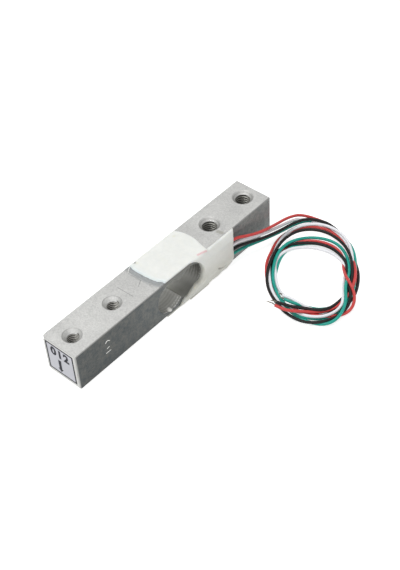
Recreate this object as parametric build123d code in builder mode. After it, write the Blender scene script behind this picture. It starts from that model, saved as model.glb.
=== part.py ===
from build123d import *
from math import cos, pi, radians, sin, tan
import os

os.makedirs("parts", exist_ok=True)

# Single point load cell: an aluminium beam with a binocular cut-out, strain gauges under silicone
# and four thin leads wound into a loose coil. Millimetres, +X along the beam towards the wire end,
# +Z up, origin at the middle of the beam.

# Beam
beam_length = 80.0
beam_width = 12.7
beam_height = 12.7
edge_bevel = 0.25
end_corner_round = 1.0
beam_top = beam_height / 2
beam_side = beam_width / 2

# Binocular cut-out: two bores across the beam that run into each other
bore_diameter = 10.5
bore_spacing = 8.0
bore_places = (-bore_spacing / 2, bore_spacing / 2)

# Tapped holes, cut at the thread's outer diameter, with a countersink at both mouths
hole_end_distance = 5.0
hole_pitch = 15.0
platform_hole_diameter = 4.0
platform_sink_diameter = 5.6
base_hole_diameter = 5.0
base_sink_diameter = 6.4
sink_angle = 90.0

# Strain gauges: carrier film and foil grid, one pair over each thin web
film_length = 5.0
film_width = 4.6
film_round = 0.45
film_thickness = 0.1
foil_thickness = 0.05
grid_length = 3.0
grid_legs = 7
leg_width = 0.2
leg_pitch = 0.4
tab_size = 0.8

# Terminal strip on the side of the beam, with one pad for each lead
strip_length = 5.0
strip_height = 8.4
strip_thickness = 0.2
strip_round = 0.4
strip_middle = 13.4
strip_level = 0.7
pad_length = 3.6
pad_height = 1.2
pad_thickness = 0.05
joint_length = 1.4
joint_height = 1.0
joint_round = 0.25
joint_rise = 0.95

# Leads
wire_diameter = 0.9
strand_diameter = 0.36
lead_levels = {"red": 3.5, "white": 1.5, "black": -0.25, "green": -2.15}
wire_depth = strip_thickness + pad_thickness + wire_diameter / 2
wire_line = -beam_side - wire_depth
joint_end = strip_middle + pad_length / 2

# Fine wires between gauges and terminal strip
jumper_diameter = 0.24
jumper_gap = 0.06
jumper_end = 11.9
jumper_joint_length = 1.0
jumper_joint_rise = 0.45
edge_run = 1.2

# Silicone
top_coat_thickness = 0.7
top_coat_round = 0.3
side_coat_thickness = 1.45
side_coat_end = 23.0
bottom_coat_thickness = 0.5
wrap_start = 3.2
wrap_end = 11.2
wrap_lap = 2.0
bottom_lip = 0.5
lip_lap = 1.0
coat_start = -1.2
coat_near_edge = [(-7.1, beam_side), (-6.4, 2.4), (-6.8, -2.6), (-5.7, -beam_side)]
coat_far_edge = [(10.9, beam_side), (12.4, 1.8), (11.9, -2.8), (wrap_end, -beam_side)]

# Level and depth of the side coat's bulging section, and the edge of the coat round the bore's mouth
side_coat_section = [(beam_top, 0.05), (beam_top - 1.15, 0.85), (beam_top - 3.75, 1.4),
                     (3.95 - beam_top, side_coat_thickness), (1.15 - beam_top, 0.6), (-beam_top, 0.4)]
side_coat_rim = [(wrap_start, beam_top), (6.2, beam_top - 0.85), (8.0, 3.3), (8.4, 0.0), (7.0, -2.2),
                 (4.6, -3.0), (3.0, 2.45 - beam_top), (0.2, 1.35 - beam_top), (-0.7, -beam_top)]

# Floor that the part rests on
floor_level = -beam_top - bottom_coat_thickness

# Coil of the four leads
coil_centre = (31.9, -28.6)
coil_height = 2.9
coil_round = 0.8
coil_top = floor_level + coil_height
tail_level = coil_top + wire_diameter / 2

# Outline of the coil: angle about its middle in degrees, and distance from it
coil_outer = [(52, 25.0), (42, 25.4), (28, 23.4), (0, 18.3), (-30, 13.8), (-60, 13.2), (-90, 15.2),
              (-120, 18.8), (-145, 19.5), (-175, 18.2), (150, 14.8), (115, 14.1), (80, 17.2), (46, 20.5)]
coil_inner = [(60, 11.2), (20, 10.3), (-20, 9.4), (-55, 8.3), (-85, 9.2), (-110, 12.2), (-140, 13.4),
              (-175, 11.8), (145, 10.7), (100, 10.3)]

# Routes of the leads after the solder joints, and of their free ends on the coil
lead_routes = {
    "red": [(22.1, -7.1, 3.5), (26.4, -8.7, 2.0), (32.0, -9.6, 0.2), (38.2, -9.6, -1.5),
            (44.4, -9.4, -3.1), (49.6, -10.7, -4.6)],
    "white": [(22.3, -7.1, 1.45), (26.7, -8.2, 0.3), (32.3, -9.2, -1.3), (38.0, -9.8, -2.8),
              (43.9, -10.0, -4.3), (48.6, -10.8, -5.4)],
    "black": [(22.4, -7.1, -0.3), (27.4, -8.8, -1.1), (32.9, -10.2, -2.3), (38.7, -11.2, -3.2),
              (44.4, -11.8, -3.9), (49.2, -13.4, -4.5)],
    "green": [(22.4, -7.1, -2.2), (28.0, -8.3, -2.9), (33.4, -9.6, -3.7), (39.2, -10.7, -4.5),
              (45.0, -11.4, -5.2), (49.6, -13.4, -5.5)],
}
tail_routes = {
    "red": [(16.5, -35.6), (14.8, -33.4), (14.1, -31.4), (13.9, -28.8)],
    "black": [(17.5, -34.8), (16.5, -33.0), (15.9, -31.0), (15.1, -28.4)],
    "white": [(18.4, -34.6), (18.8, -32.9), (18.8, -30.4), (18.3, -28.0)],
    "green": [(17.6, -33.6), (17.7, -32.2), (17.6, -30.8), (17.3, -29.3)],
}
strand_lengths = {"red": 2.8, "black": 1.7, "white": 1.2, "green": 1.3}

# End label
label_margin = 0.5
label_thickness = 0.1
label_corner = 0.8

# Glue drop at the mouth of the bore nearer the label: how far its middle lies from the bore's
# middle along the beam, behind the side face, and above the bore's lowest line
drop_radius = 0.75
drop_shift = -0.7
drop_inset = 0.45
drop_rise = 0.15


def corner_radii(points):
    """One arc radius for each corner: 0.45 of its shorter run over the tangent of half its turn."""
    radii = []
    for before, corner, after in zip(points, points[1:], points[2:]):
        run_in = Vector(*corner) - Vector(*before)
        run_out = Vector(*after) - Vector(*corner)
        half_turn = radians(run_in.get_angle(run_out)) / 2
        radii.append(0.45 * min(run_in.length, run_out.length) / tan(half_turn))
    return radii


def wire_along(points, diameter):
    """A round wire along straight runs that are joined by tangent arcs."""
    with BuildPart() as wire:
        with BuildLine():
            route = FilletPolyline(*points, radius=corner_radii(points))
        with BuildSketch(Plane(origin=route @ 0, z_dir=route % 0)):
            Circle(diameter / 2)
        sweep(path=route)
    return wire.part, route.length


def report_tube(name, tube, length, points):
    """Prints a tube's length, its volume beside its section times its length, and its radii."""
    radii = [round(radius, 1) for radius in corner_radii(points)]
    expected = pi * wire_diameter**2 / 4 * length
    print(f"{name}: length {length:.1f}, volume {tube.volume:.2f} against {expected:.2f}, radii {radii}")


def bent_wire(points, diameter):
    """A fine round wire along straight runs with mitred corners."""
    with BuildPart() as wire:
        with BuildLine():
            route = Polyline(*points)
        with BuildSketch(Plane(origin=route @ 0, z_dir=route % 0)):
            Circle(diameter / 2)
        sweep(path=route, transition=Transition.RIGHT)
    return wire.part


def coil_place(angle, distance):
    """A place in plan, by its direction and distance from the coil's middle."""
    return coil_centre[0] + distance * cos(radians(angle)), coil_centre[1] + distance * sin(radians(angle))


def finish(part, name):
    """Labels a finished piece and writes its file."""
    part.label = name
    export_step(part, f"parts/{name}.step")


def tapped_hole(diameter, sink_diameter):
    """Cutter for a through hole with a countersink at both mouths, standing on the middle of the beam."""
    sink_depth = (sink_diameter - diameter) / 2 / tan(radians(sink_angle / 2))
    with BuildPart() as cutter:
        with BuildSketch(Plane.XZ):
            with BuildLine():
                Polyline(
                    (0, -beam_top),
                    (sink_diameter / 2, -beam_top),
                    (diameter / 2, sink_depth - beam_top),
                    (diameter / 2, beam_top - sink_depth),
                    (sink_diameter / 2, beam_top),
                    (0, beam_top),
                    close=True,
                )
            make_face()
        revolve(axis=Axis.Z)
    return cutter.part


# The beam
hole_places = (beam_length / 2 - hole_end_distance, beam_length / 2 - hole_end_distance - hole_pitch)
platform_hole = tapped_hole(platform_hole_diameter, platform_sink_diameter)
base_hole = tapped_hole(base_hole_diameter, base_sink_diameter)
with BuildPart() as beam:
    with BuildSketch(Plane.XY.offset(-beam_top)) as outline:
        Rectangle(beam_length, beam_width)
        corners = outline.vertices().sort_by_distance((-beam_length / 2, beam_side, -beam_top))
        fillet(corners[0], end_corner_round)
        chamfer(outline.vertices().sort_by(Axis.X)[-2:], edge_bevel)
        chamfer(outline.vertices().sort_by_distance((-beam_length / 2, -beam_side, -beam_top))[0], edge_bevel)
    extrude(amount=beam_height)
    levels = beam.edges().group_by(Axis.Z)
    chamfer(levels[0] + levels[-1], edge_bevel)
    with BuildSketch(Plane.XZ):
        with Locations(*[(x, 0) for x in bore_places]):
            Circle(bore_diameter / 2)
    extrude(amount=beam_width, both=True, mode=Mode.SUBTRACT)
    with Locations(*[(-x, 0) for x in hole_places]):
        add(platform_hole, mode=Mode.SUBTRACT)
    with Locations(*[(x, 0) for x in hole_places]):
        add(base_hole, mode=Mode.SUBTRACT)
finish(beam.part, "beam")

# The strain gauges, one over each thin web, drawn on the top or the bottom face
top_face = Plane.XY.offset(beam_top)
bottom_face = Plane(origin=(0, 0, -beam_top), x_dir=(1, 0, 0), z_dir=(0, 0, -1))
film_outer = film_thickness + foil_thickness
grid_height = leg_pitch * (grid_legs - 1) + leg_width
gauges = []
for face_name, face in (("top", top_face), ("bottom", bottom_face)):
    for end_name, x in zip(("platform", "base"), bore_places):
        with BuildPart() as film:
            with BuildSketch(face):
                with Locations((x, 0)):
                    RectangleRounded(film_length, film_width, film_round)
            extrude(amount=film_thickness)
        finish(film.part, f"gauge_film_{face_name}_{end_name}")
        with BuildPart() as grid:
            with BuildSketch(face.offset(film_thickness)):
                with Locations((x, 0)):
                    with GridLocations(0, leg_pitch, 1, grid_legs):
                        Rectangle(grid_length, leg_width)
                for gap in range(grid_legs - 1):
                    side = 1 if gap % 2 else -1
                    gap_y = leg_pitch * (gap + 0.5) - (grid_height - leg_width) / 2
                    with Locations((x + side * (grid_length - leg_width) / 2, gap_y)):
                        Rectangle(leg_width, leg_pitch)
                for tab_y in (-1, 1):
                    with Locations((x, tab_y * (grid_height + tab_size) / 2)):
                        Rectangle(tab_size, tab_size)
            extrude(amount=foil_thickness)
        finish(grid.part, f"gauge_grid_{face_name}_{end_name}")
        gauges += [film.part, grid.part]

# Link wires join the far tabs of two neighbouring gauges, on the top and on the bottom
tab_reach = (grid_height + tab_size) / 2
wire_lift = film_outer + jumper_diameter / 2
link_bow = 0.7
links = []
for face_name, sign in (("top", 1), ("bottom", -1)):
    level = sign * (beam_top + wire_lift)
    link_route = [(bore_places[0], tab_reach, level), (0, tab_reach + link_bow, level),
                  (bore_places[1], tab_reach, level)]
    with BuildPart() as link:
        add(bent_wire(link_route, jumper_diameter))
    finish(link.part, f"link_wire_{face_name}")
    links.append(link.part)

# The terminal strip on the side, its pads and the solder joints on them
side_face = Plane.XZ.offset(beam_side)
strip_face = side_face.offset(strip_thickness)
pad_face = strip_face.offset(pad_thickness)
with BuildPart() as terminal_strip:
    with BuildSketch(side_face):
        with Locations((strip_middle, strip_level)):
            RectangleRounded(strip_length, strip_height, strip_round)
    extrude(amount=strip_thickness)
finish(terminal_strip.part, "terminal_strip")

with BuildPart() as solder_pads:
    with BuildSketch(strip_face):
        with Locations(*[(strip_middle, level) for level in lead_levels.values()]):
            Rectangle(pad_length, pad_height)
    extrude(amount=pad_thickness)
finish(solder_pads.part, "solder_pads")

with BuildPart() as solder_joints:
    for middle, length, rise in (
        (joint_end - joint_length / 2, joint_length, joint_rise),
        (jumper_end + jumper_joint_length / 2, jumper_joint_length, jumper_joint_rise),
    ):
        for level in lead_levels.values():
            with BuildSketch(Plane.YZ.offset(middle)) as joint_section:
                with Locations((-beam_side - strip_thickness - pad_thickness - rise / 2, level)):
                    Rectangle(rise, joint_height)
                fillet(joint_section.vertices().group_by(Axis.X)[0], joint_round)
            extrude(amount=length / 2, both=True)
finish(solder_joints.part, "solder_joints")

# Jumpers from the gauges over the near edge to the terminal strip, each a list of places
# on the face, then over the edge, then down or up the side
edge_line = -beam_side - jumper_diameter / 2 - jumper_gap
side_line = -beam_side - strip_thickness - pad_thickness - jumper_diameter / 2
jumper_step = 0.28
edge_drift = 0.1
over = jumper_diameter + jumper_gap
jumper_routes = {
    "jumper_top_red": dict(sign=1, on_face=[(4.3, 1.7), (7.8, 0.9), (9.7, -2.4)], edge_x=10.3,
                           on_side=[(11.0, 4.3, 0)], pad="red", step=0),
    "jumper_top_white": dict(sign=1, on_face=[(4.2, -1.7), (7.2, -2.5), (9.0, -4.2)], edge_x=9.3,
                             on_side=[(10.2, 3.2, 0)], pad="white", step=1),
    "jumper_top_green": dict(sign=1, on_face=[(-3.8, -1.7), (-1.4, -3.5), (3.2, -4.1), (6.9, -4.7)],
                             edge_x=8.3, on_side=[(9.2, 3.6, 0), (9.9, 0.2, 0)], pad="green", step=1),
    "jumper_bottom_black": dict(sign=-1, on_face=[(4.3, 1.7), (7.8, 0.9), (9.7, -2.4)], edge_x=10.3,
                                on_side=[(10.5, -3.6, over), (10.7, -1.7, over)], pad="black", step=0),
    "jumper_bottom_green": dict(sign=-1, on_face=[(4.2, -1.7), (7.2, -2.5), (9.0, -4.2)], edge_x=9.3,
                                on_side=[(9.8, -4.3, 0)], pad="green", step=-1),
    "jumper_bottom_white": dict(sign=-1, on_face=[(-3.8, -1.7), (-1.4, -3.5), (3.2, -4.1), (6.9, -4.7)],
                                edge_x=8.3, on_side=[(9.0, -3.4, 0), (9.4, -0.4, 0)], pad="white", step=-1),
}
jumpers = []
for name, way in jumper_routes.items():
    level = way["sign"] * (beam_top + wire_lift)
    pad_level = lead_levels[way["pad"]] + way["step"] * jumper_step
    route = [(x, y, level) for x, y in way["on_face"]]
    route += [
        (way["edge_x"], edge_line + edge_run, level),
        (way["edge_x"] + edge_drift, edge_line, level),
        (way["edge_x"] + 2 * edge_drift, edge_line, level - way["sign"] * edge_run),
    ]
    route += [(x, side_line - out, z) for x, z, out in way["on_side"]]
    route += [(jumper_end - edge_run / 2, side_line, pad_level), (jumper_end, side_line, pad_level)]
    with BuildPart() as jumper:
        add(bent_wire(route, jumper_diameter))
    finish(jumper.part, name)
    jumpers.append(jumper.part)

# The coil of the four leads as one solid of its outer shape, lying on the floor: the outer side
# has a step, where the leads run in
with BuildPart() as lead_coil:
    with BuildSketch(Plane.XY.offset(floor_level)):
        with BuildLine():
            outer = Spline(*[coil_place(*spot) for spot in coil_outer])
            Line(outer @ 1, outer @ 0)
        make_face()
        with BuildLine():
            Spline(*[coil_place(*spot) for spot in coil_inner], periodic=True)
        make_face(mode=Mode.SUBTRACT)
    extrude(amount=coil_height)
    flat_edges = lead_coil.edges().group_by(Axis.Z)
    chamfer(flat_edges[0] + flat_edges[-1], coil_round)
finish(lead_coil.part, "lead_coil")

# The leads from the terminal strip to the coil
leads = []
for colour, places in lead_routes.items():
    start = (joint_end, wire_line, lead_levels[colour])
    route = [start] + places
    tube, length = wire_along(route, wire_diameter)
    report_tube(f"lead_{colour}", tube, length, route)
    with BuildPart() as lead:
        add(tube)
        add(lead_coil.part, mode=Mode.SUBTRACT)
    finish(lead.part, f"lead_{colour}")
    leads.append(lead.part)

# The free ends lie on the coil, each with a bared strand
for colour, places in tail_routes.items():
    route = [(x, y, tail_level) for x, y in places]
    tube, length = wire_along(route, wire_diameter)
    report_tube(f"tail_{colour}", tube, length, route)
    with BuildPart() as tail:
        add(tube)
    finish(tail.part, f"tail_{colour}")
    end_run = (Vector(*route[-1]) - Vector(*route[-2])).normalized()
    with BuildPart() as strand:
        with BuildSketch(Plane(origin=route[-1], z_dir=end_run)):
            Circle(strand_diameter / 2)
        extrude(amount=strand_lengths[colour])
    finish(strand.part, f"strand_{colour}")

# Silicone over the lower gauges, which the beam rests on; its lip closes the side coat's lower edge
with BuildPart() as bottom_coat:
    with BuildSketch(bottom_face):
        with BuildLine():
            near = Spline(*[(x, -y) for x, y in coat_near_edge])
            far = Spline(*[(x, -y) for x, y in coat_far_edge])
            Line(near @ 0, far @ 0)
            Line(near @ 1, far @ 1)
        make_face()
        with Locations(((wrap_start + wrap_end) / 2, beam_side + bottom_lip / 2 - lip_lap / 2)):
            Rectangle(wrap_end - wrap_start, bottom_lip + lip_lap)
    extrude(amount=bottom_coat_thickness)
    for inner in gauges + links + jumpers:
        add(inner, mode=Mode.SUBTRACT)
finish(bottom_coat.part, "bottom_coat")

# Silicone over the upper gauges and the terminal strip, in one piece round the near top edge
with BuildPart() as side_skin:
    with BuildSketch(Plane.YZ.offset(coat_start)):
        with BuildLine():
            bulge = Spline(*[(-beam_side - depth, level) for level, depth in side_coat_section])
            Line(bulge @ 1, (-beam_side, -beam_top))
            Line((-beam_side, -beam_top), (-beam_side, beam_top))
            Line((-beam_side, beam_top), bulge @ 0)
        make_face()
    extrude(amount=side_coat_end - coat_start)
    with BuildSketch(Plane.XZ.offset(beam_side)):
        with BuildLine():
            rim = Spline(*side_coat_rim, tangents=[(1, -0.1), (-0.3, -1)])
            Polyline(rim @ 1, (side_coat_end, -beam_top), (side_coat_end, beam_top), rim @ 0)
        make_face()
    extrude(amount=side_coat_thickness * 2, mode=Mode.INTERSECT)

with BuildPart() as silicone_coat:
    with BuildSketch(top_face):
        with BuildLine():
            near = Spline(*coat_near_edge)
            far = Spline(*coat_far_edge)
            Line(near @ 0, far @ 0)
            Line(near @ 1, far @ 1)
        make_face()
    extrude(amount=top_coat_thickness)
    fillet(silicone_coat.edges().group_by(Axis.Z)[-1].filter_by(GeomType.LINE, reverse=True), top_coat_round)
    add(side_skin.part)
    with BuildSketch(Plane.YZ.offset(wrap_start)):
        with BuildLine():
            shoulder_level, shoulder_depth = side_coat_section[1]
            shoulder = Spline(
                (-beam_side + wrap_lap, beam_top + top_coat_thickness),
                (-beam_side - shoulder_depth, shoulder_level),
                tangents=[(-1, 0), (-0.3, -1)],
            )
            Polyline(shoulder @ 1, (-beam_side, shoulder_level), (-beam_side, beam_top),
                     (-beam_side + wrap_lap, beam_top), shoulder @ 0)
        make_face()
    extrude(amount=wrap_end - wrap_start)
    for inner in gauges + links + jumpers + leads:
        add(inner, mode=Mode.SUBTRACT)
    for inner in (terminal_strip.part, solder_pads.part, solder_joints.part):
        add(inner, mode=Mode.SUBTRACT)
finish(silicone_coat.part, "silicone_coat")

# A bead of glue in the mouth of the bore nearer the label
with BuildPart() as glue_drop:
    with Locations((bore_places[0] + drop_shift, drop_inset - beam_side, drop_rise - bore_diameter / 2)):
        Sphere(drop_radius)
    with BuildSketch(Plane.XZ):
        with Locations((bore_places[0], 0)):
            Circle(bore_diameter / 2)
    extrude(amount=beam_width, mode=Mode.INTERSECT)
finish(glue_drop.part, "glue_drop")

# Paper label on the end face
with BuildPart() as end_label:
    with BuildSketch(Plane(origin=(-beam_length / 2, 0, 0), x_dir=(0, -1, 0), z_dir=(-1, 0, 0))):
        RectangleRounded(beam_width - 2 * label_margin, beam_height - 2 * label_margin, label_corner)
    extrude(amount=label_thickness)
finish(end_label.part, "end_label")
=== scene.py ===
import math

import bpy
import numpy as np
from mathutils import Matrix, Vector, noise


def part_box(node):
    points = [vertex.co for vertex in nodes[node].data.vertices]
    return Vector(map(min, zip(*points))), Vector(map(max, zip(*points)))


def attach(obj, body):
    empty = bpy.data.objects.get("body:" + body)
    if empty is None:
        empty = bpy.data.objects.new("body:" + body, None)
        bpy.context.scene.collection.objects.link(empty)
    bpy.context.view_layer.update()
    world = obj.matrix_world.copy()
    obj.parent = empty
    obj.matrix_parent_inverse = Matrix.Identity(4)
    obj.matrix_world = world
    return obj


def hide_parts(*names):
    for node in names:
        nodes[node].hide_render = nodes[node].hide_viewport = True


# Single point load cell, dressed. Metres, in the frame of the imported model: +X along the beam
# towards the wire end, +Z up, origin at the middle of the beam.
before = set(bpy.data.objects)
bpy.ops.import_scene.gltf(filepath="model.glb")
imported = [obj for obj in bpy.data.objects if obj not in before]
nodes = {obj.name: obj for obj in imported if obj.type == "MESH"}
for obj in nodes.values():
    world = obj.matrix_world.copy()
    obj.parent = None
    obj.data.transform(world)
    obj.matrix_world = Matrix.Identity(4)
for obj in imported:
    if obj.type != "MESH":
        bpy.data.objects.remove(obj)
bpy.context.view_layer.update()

# Beam, as the frame has it
BEAM_HIGH = Vector(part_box("beam")[1])
BEAM_TOP = BEAM_HIGH.z
BEAM_SIDE = BEAM_HIGH.y
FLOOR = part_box("bottom_coat")[0][2]
BORE_RADIUS = 0.00525
BORE_OFFSET = 0.004

# Tapped holes at the platform's and the base's end of the beam, and the middle and pitch of a pair
PLATFORM_HOLES = (-0.035, -0.020)
BASE_HOLES = (0.035, 0.020)
HOLE_MIDDLE = 0.0275
HOLE_PITCH = 0.015
# Their threads: outer radius, radius of the crests, pitch, depth of the countersink, and the
# radius down to which the countersink's cone runs on
PLATFORM_THREAD = {"outer": 0.0020, "crest": 0.00162, "pitch": 0.0007, "sink": 0.0008, "mouth": 0.00162}
BASE_THREAD = {"outer": 0.0025, "crest": 0.00207, "pitch": 0.0008, "sink": 0.0007, "mouth": 0.00225}

# Leads: the route of each from its solder joint to the coil, as the frame's tubes have it
WIRE = 0.0009
LEAD_ROUTES = {
    "red": [(0.0152, -0.00705, 0.0035), (0.0221, -0.0071, 0.0035), (0.0264, -0.0087, 0.0020),
            (0.0320, -0.0096, 0.0002), (0.0382, -0.0096, -0.0015), (0.0444, -0.0094, -0.0031),
            (0.0496, -0.0107, -0.0046)],
    "white": [(0.0152, -0.00705, 0.0015), (0.0223, -0.0071, 0.00145), (0.0267, -0.0082, 0.0003),
              (0.0323, -0.0092, -0.0013), (0.0380, -0.0098, -0.0028), (0.0439, -0.0100, -0.0043),
              (0.0486, -0.0108, -0.0054)],
    "black": [(0.0152, -0.00705, -0.00025), (0.0224, -0.0071, -0.0003), (0.0274, -0.0088, -0.0011),
              (0.0329, -0.0102, -0.0023), (0.0387, -0.0112, -0.0032), (0.0444, -0.0118, -0.0039),
              (0.0492, -0.0134, -0.0045)],
    "green": [(0.0152, -0.00705, -0.00215), (0.0224, -0.0071, -0.0022), (0.0280, -0.0083, -0.0029),
              (0.0334, -0.0096, -0.0037), (0.0392, -0.0107, -0.0045), (0.0450, -0.0114, -0.0052),
              (0.0496, -0.0134, -0.0055)],
}

# The free ends, which lie on the coil, and the bared strand of each
TAIL_LEVEL = -0.0035
TAIL_ROUTES = {
    "red": [(0.0148, -0.0334), (0.0141, -0.0314), (0.0139, -0.0288)],
    "black": [(0.0165, -0.0330), (0.0159, -0.0310), (0.0151, -0.0284)],
    "white": [(0.0188, -0.0329), (0.0188, -0.0304), (0.0183, -0.0280)],
    "green": [(0.0177, -0.0322), (0.0176, -0.0308), (0.0173, -0.0293)],
}

# The coil: for each lead, every 20 degrees clockwise from 30 degrees, its distance from the coil's
# middle in millimetres as the camera sees it on one level, and the layer it lies in
COIL_MIDDLE = (0.0319, -0.0286)
FIRST_STATION = 30
STATION_STEP = 20
LAYER = 0.00082
SEEN_LEVEL = 0.0014
COIL_STATIONS = {
    "red": [(22.9, 0), (17.9, 0), (14.5, 0), (12.5, 0), (11.9, 0), (12.0, 0), (12.4, 0), (14.0, 0),
            (15.1, 0), (15.5, 0), (15.2, 0), (14.5, 0), (13.4, 0), (12.9, 0), (12.9, 0), (13.4, 0),
            (13.8, 0.5), (14.1, 0.5), (14.0, 1), (13.2, 1), (11.6, 1), (9.6, 1), (8.9, 2.5), (10.7, 3),
            (14.6, 2.5), (17.8, 1.5), (16.9, 1), (15.9, 1), (15.2, 0.5), (14.1, 0.5), (13.4, 1),
            (13.5, 1), (14.0, 1), (15.3, 1), (18.1, 1), (20.1, 1), (20.1, 1.5), (17.9, 1), (14.1, 1.5),
            (12.7, 2), (12.1, 2), (11.8, 1.5), (12.6, 1), (13.8, 1.5), (14.9, 2), (14.9, 2.5)],
    "black": [(23.5, 1.5), (18.6, 0.5), (14.8, 0), (12.6, 0), (12.5, 0), (13.1, 0), (14.2, 0),
              (15.5, 0), (16.4, 0), (16.7, 0), (15.9, 0), (14.6, 0), (13.1, 0), (12.5, 0.5),
              (12.8, 0.5), (14.0, 0.5), (14.3, 1), (13.5, 1.5), (13.0, 1.5), (12.3, 1.5), (11.5, 1.5),
              (10.5, 1), (9.5, 1.5), (9.9, 2), (13.2, 2), (16.4, 1.5), (18.5, 1.5), (19.1, 1.5),
              (17.3, 2), (15.1, 2), (14.1, 2), (13.4, 2), (13.3, 2), (14.3, 2), (16.7, 2), (19.0, 2),
              (18.8, 2), (16.6, 2), (14.2, 2), (12.2, 2.5), (11.3, 2), (11.4, 1.5), (11.8, 1),
              (13.0, 1.5), (14.5, 2.5), (13.7, 3)],
    "white": [(21.8, 0), (18.2, 0.5), (14.8, 0.5), (12.4, 0.5), (11.8, 0), (11.9, 0), (12.4, 0.5),
              (14.1, 0.5), (14.3, 0.5), (13.8, 1), (12.9, 1), (12.2, 1), (11.4, 1), (10.9, 1),
              (11.7, 1), (12.6, 1), (12.5, 1), (11.7, 1), (11.0, 1), (10.6, 1), (10.3, 1), (10.0, 1),
              (9.3, 1), (8.9, 1), (10.3, 1.5), (14.5, 1.5), (16.7, 1.5), (16.7, 2), (15.5, 1.5),
              (14.3, 1), (13.3, 1), (12.8, 1), (13.3, 0.5), (14.6, 0.5), (17.7, 1), (20.8, 2),
              (21.6, 2.5), (19.1, 2.5), (15.2, 2), (12.3, 1), (11.3, 0.5), (11.5, 0.5), (12.6, 0.5),
              (14.2, 0.5), (14.9, 1), (13.6, 2)],
    "green": [(22.5, 0), (18.2, 0), (15.3, 1), (13.1, 1), (12.0, 1), (11.9, 1), (13.3, 0.5), (15.5, 1),
              (17.6, 1), (17.4, 1.5), (15.5, 2), (13.4, 2), (12.2, 2), (11.7, 1.5), (11.9, 1.5),
              (13.3, 1.5), (14.9, 2), (15.5, 2), (15.5, 2), (14.9, 2), (12.9, 2), (11.2, 2), (10.3, 2),
              (9.7, 2.5), (11.3, 3), (15.6, 2.5), (19.8, 2), (18.5, 0.5), (15.7, 0), (13.7, 0),
              (12.0, 0.5), (11.0, 0.5), (10.9, 0.5), (11.8, 0), (12.9, 0), (13.2, 0), (13.0, 0),
              (12.4, 0), (11.4, 0), (10.7, 0), (10.9, 0), (11.8, 0), (12.9, 0), (13.9, 0.5), (14.4, 1),
              (13.7, 1.5)],
}

# How the coil settles: the step between two points of a lead, the rounds, and the rounds between
# two searches for points that lie near each other. In each round a point goes back by a share of
# its way to where the camera saw it and to its own level, sags, and is drawn in line with its
# two neighbours by the stiffness of the wire.
SETTLE_STEP = 0.0012
SETTLE_ROUNDS = 250
SEARCH_ROUNDS = 10
SIGHT_PULL = 0.05
LEVEL_PULL = 0.006
SAG = 0.000004
STIFFNESS = 0.1
# A wire's spline takes every second of its points
POINT_STEP = 2

# Camera at the photograph's place: its eye, the way it looks, its right hand and its lens
EYE = Vector((-0.15033, -0.15734, 0.21557))
SIGHT = Vector((0.5094, 0.4863, -0.7100))
CAMERA_RIGHT = Vector((0.6565, -0.7530, -0.0447))
LENS = 68.69


def shader(name):
    """A new material, its tree and its Principled shader."""
    made = bpy.data.materials.new(name)
    made.use_nodes = True
    tree = made.node_tree
    return made, tree, tree.nodes["Principled BSDF"]


def math_node(tree, operation, *values):
    """A Math node fed with sockets or numbers."""
    node = tree.nodes.new("ShaderNodeMath")
    node.operation = operation
    for socket, value in zip(node.inputs, values):
        if isinstance(value, bpy.types.NodeSocket):
            tree.links.new(value, socket)
        else:
            socket.default_value = value
    return node.outputs[0]


def step_up(tree, value, low, high):
    """Rises smoothly from 0 to 1 while the value goes from low to high."""
    node = tree.nodes.new("ShaderNodeMapRange")
    node.interpolation_type = "SMOOTHSTEP"
    tree.links.new(value, node.inputs["Value"])
    node.inputs["From Min"].default_value = low
    node.inputs["From Max"].default_value = high
    return node.outputs["Result"]


def tint(tree, mask, low, high):
    """Goes from one colour to the other with the mask; each is a socket or three numbers."""
    node = tree.nodes.new("ShaderNodeMix")
    node.data_type = "RGBA"
    tree.links.new(mask, node.inputs["Factor"])
    for socket, colour in ((node.inputs["A"], low), (node.inputs["B"], high)):
        if isinstance(colour, bpy.types.NodeSocket):
            tree.links.new(colour, socket)
        else:
            socket.default_value = (*colour, 1)
    return node.outputs["Result"]


def step_down(tree, value, low, high):
    """Falls smoothly from 1 to 0 while the value goes from low to high."""
    return math_node(tree, "SUBTRACT", 1.0, step_up(tree, value, low, high))


def product(tree, *values):
    """All the values, sockets or numbers, multiplied together."""
    result = values[0]
    for value in values[1:]:
        result = math_node(tree, "MULTIPLY", result, value)
    return result


def hypotenuse(tree, first, second):
    """The distance of a place from an axis, from its distances in two directions."""
    squares = [math_node(tree, "POWER", value, 2.0) for value in (first, second)]
    return math_node(tree, "SQRT", math_node(tree, "ADD", *squares))


def own_place(tree):
    """The place on the piece, in the shared frame."""
    return tree.nodes.new("ShaderNodeTexCoord").outputs["Object"]


def axis_places(tree):
    """The place's three coordinates."""
    split = tree.nodes.new("ShaderNodeSeparateXYZ")
    tree.links.new(own_place(tree), split.inputs["Vector"])
    return split.outputs


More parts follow.
